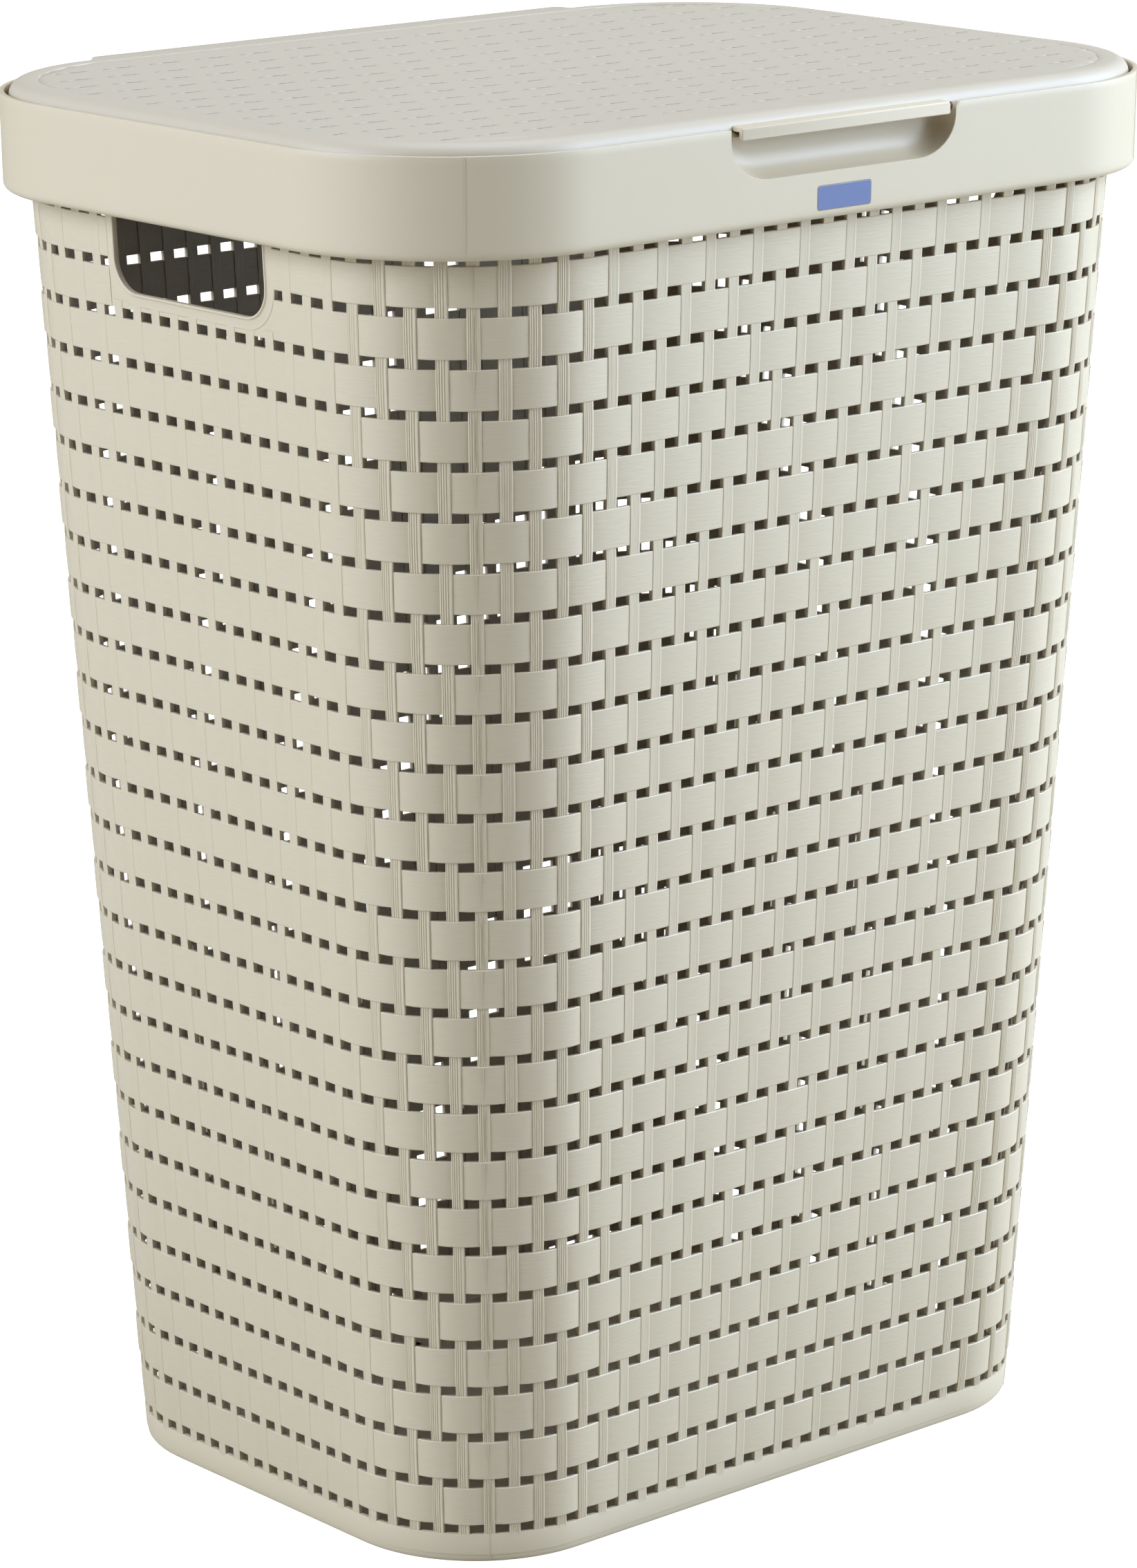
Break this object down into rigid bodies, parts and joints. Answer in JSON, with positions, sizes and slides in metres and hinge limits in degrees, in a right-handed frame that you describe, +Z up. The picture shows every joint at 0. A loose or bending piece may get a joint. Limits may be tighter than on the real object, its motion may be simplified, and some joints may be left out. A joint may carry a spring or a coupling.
{
  "type": "laundry hamper",
  "caption": "Tall tapered rectangular laundry hamper with a woven-look vented wall, hand grips in the short sides, and a rear-hinged lid with a front finger tab.",
  "frame": {"origin": "centre of the footprint, on the floor", "axes": "+Z up, front with the finger recess and label towards -Y, long side along X, hand grips at +X and -X, hinge along the +Y side"},
  "size_m": [0.42, 0.3163, 0.568],
  "materials": {
    "greige_plastic": "fine moulded grain, satin sheen",
    "label_blue": "plain glossy plate"
  },
  "bodies": {
    "body": {"base_pan": "greige_plastic", "wall_front": "greige_plastic", "wall_back": "greige_plastic", "wall_left": "greige_plastic", "wall_right": "greige_plastic", "wall_corner_front_left": "greige_plastic", "wall_corner_front_right": "greige_plastic", "wall_corner_back_left": "greige_plastic", "wall_corner_back_right": "greige_plastic", "grip_border_left": "greige_plastic", "grip_border_right": "greige_plastic", "collar_front": "greige_plastic", "collar_back": "greige_plastic", "collar_left": "greige_plastic", "collar_right": "greige_plastic", "collar_corner_front_left": "greige_plastic", "collar_corner_front_right": "greige_plastic", "collar_corner_back_left": "greige_plastic", "collar_corner_back_right": "greige_plastic", "finger_pocket": "greige_plastic", "label_plate": "label_blue", "hinge_bar_left": "greige_plastic", "hinge_bar_right": "greige_plastic"},
    "lid": {"lid_panel": "greige_plastic", "lid_tab": "greige_plastic", "hinge_clip_left": "greige_plastic", "hinge_clip_right": "greige_plastic"}
  },
  "joints": [
    {"name": "lid_hinge", "type": "hinge", "parent": "body", "child": "lid", "pos_m": [0, 0.1535, 0.558], "axis": [-1, 0, 0], "range_deg": [0, 110]}
  ]
}
